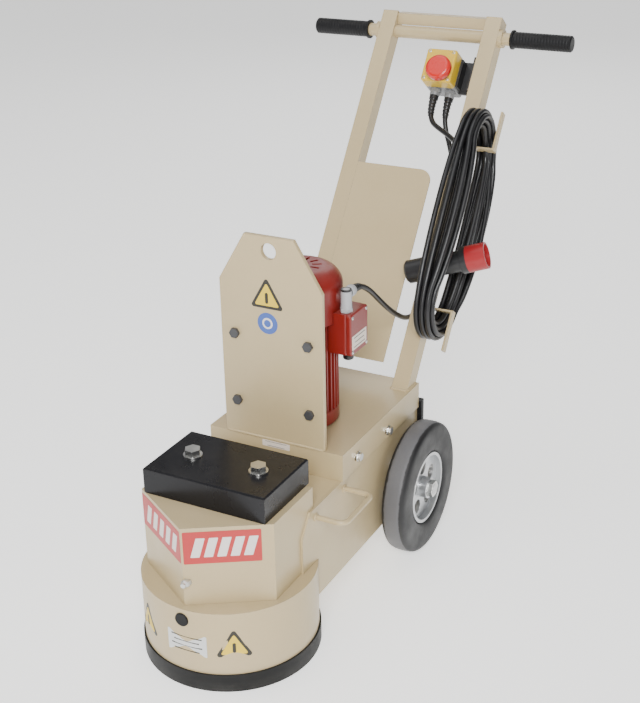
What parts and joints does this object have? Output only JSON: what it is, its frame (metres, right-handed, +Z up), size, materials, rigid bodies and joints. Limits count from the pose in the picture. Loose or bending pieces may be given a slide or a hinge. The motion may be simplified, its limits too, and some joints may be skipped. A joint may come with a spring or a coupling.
{
  "type": "concrete floor grinder",
  "caption": "Walk-behind concrete floor grinder: round shrouded disc head with a weight slab, belt-driven upright motor, wheels, leaning handle with stop box and coiled supply cable.",
  "frame": {"origin": "on the floor, at the middle of the machine's footprint box", "axes": "+X the right side seen from the front, -Y the grinding head, +Y the handle, +Z up"},
  "size_m": [0.542, 1.0454, 0.9138],
  "materials": {
    "cream_paint": "satin cream paint on sheet steel",
    "red_paint": "dark red machine enamel",
    "black_paint": "black paint",
    "black_rubber": "black rubber",
    "grey_tyre": "grey solid rubber",
    "cable_rubber": "rubber cable sheath",
    "zinc_steel": "zinc plated",
    "cast_iron": "cast",
    "pulley_iron": "turned cast iron",
    "machined_steel": "turned",
    "abrasive": "diamond segment",
    "rim_alloy": "cast, bare",
    "black_plastic": "moulded",
    "grey_plastic": "moulded",
    "yellow_plastic": "moulded",
    "red_plastic": "moulded"
  },
  "bodies": {
    "frame": {"drum_shroud": "cream_paint", "rubber_skirt": "black_rubber", "head_box": "cream_paint", "front_weight": "black_paint", "weight_bolts": "zinc_steel", "port_plug": "black_rubber", "spindle_housing": "cast_iron", "spindle_bearings": "machined_steel", "chassis_channel": "cream_paint", "belt_cover": "cream_paint", "motor_deck": "cream_paint", "deck_bolts": "zinc_steel", "lift_bails": "cream_paint", "rear_buffers": "black_rubber", "motor_plate": "cream_paint", "foot_bolts": "zinc_steel", "motor_body": "red_paint", "motor_end_bell": "red_paint", "motor_bearings": "machined_steel", "stator_core": "machined_steel", "fan_cowl": "red_paint", "v_belt": "black_rubber", "terminal_box": "red_paint", "terminal_lid": "red_paint", "axle": "machined_steel", "axle_nuts": "zinc_steel", "left_leg": "cream_paint", "right_leg": "cream_paint", "crossbar": "cream_paint", "handlebar": "cream_paint", "left_grip": "black_rubber", "right_grip": "black_rubber", "handle_panel": "cream_paint", "cord_hooks": "cream_paint", "switch_base": "grey_plastic", "switch_lid": "yellow_plastic", "switch_bracket": "black_paint", "stop_spring": "machined_steel", "cable_glands": "grey_plastic", "motor_lead": "cable_rubber", "supply_lead": "cable_rubber", "cable_coil": "cable_rubber", "plug_cap": "black_plastic", "plug_body": "red_plastic", "plug_lead": "cable_rubber"},
    "left_wheel": {"left_tyre": "grey_tyre", "left_rim": "rim_alloy"},
    "right_wheel": {"right_tyre": "grey_tyre", "right_rim": "rim_alloy"},
    "disc": {"spindle_shaft": "machined_steel", "driven_pulley": "pulley_iron", "grinding_disc": "machined_steel", "abrasive_segments": "abrasive", "disc_bolts": "zinc_steel"},
    "rotor": {"rotor_core": "machined_steel", "motor_shaft": "machined_steel", "drive_pulley": "pulley_iron", "cooling_fan": "black_plastic"},
    "plunger": {"stop_stem": "black_plastic"},
    "button": {"stop_head": "red_plastic"}
  },
  "joints": [
    {"name": "left_wheel_spin", "type": "hinge", "parent": "frame", "child": "left_wheel", "pos_m": [0, 0.03732, 0.125], "axis": [1, 0, 0], "continuous": true},
    {"name": "right_wheel_spin", "type": "hinge", "parent": "frame", "child": "right_wheel", "pos_m": [0, 0.03732, 0.125], "axis": [1, 0, 0], "continuous": true},
    {"name": "disc_spin", "type": "hinge", "parent": "frame", "child": "disc", "pos_m": [0, -0.37168, 0], "axis": [0, 0, 1], "continuous": true},
    {"name": "rotor_spin", "type": "hinge", "parent": "frame", "child": "rotor", "pos_m": [0, -0.11168, 0], "axis": [0, 0, 1], "continuous": true},
    {"name": "stop_push", "type": "slide", "parent": "frame", "child": "plunger", "axis": [0, 0.8171, -0.5764], "range_m": [0, 0.006], "stiffness_N_per_m": 800, "springref_m": -0.002, "deforming": ["stop_spring"]},
    {"name": "stop_twist", "type": "hinge", "parent": "plunger", "child": "button", "pos_m": [0.038, 0.39742, 0.82707], "axis": [0, -0.8171, 0.5764], "range_deg": [0, 45], "stiffness_Nm_per_rad": 0.05, "springref_deg": -11.46}
  ],
  "couplings": [
    {"joint": "rotor_spin", "follows": "disc_spin", "ratio": 1.3571}
  ]
}
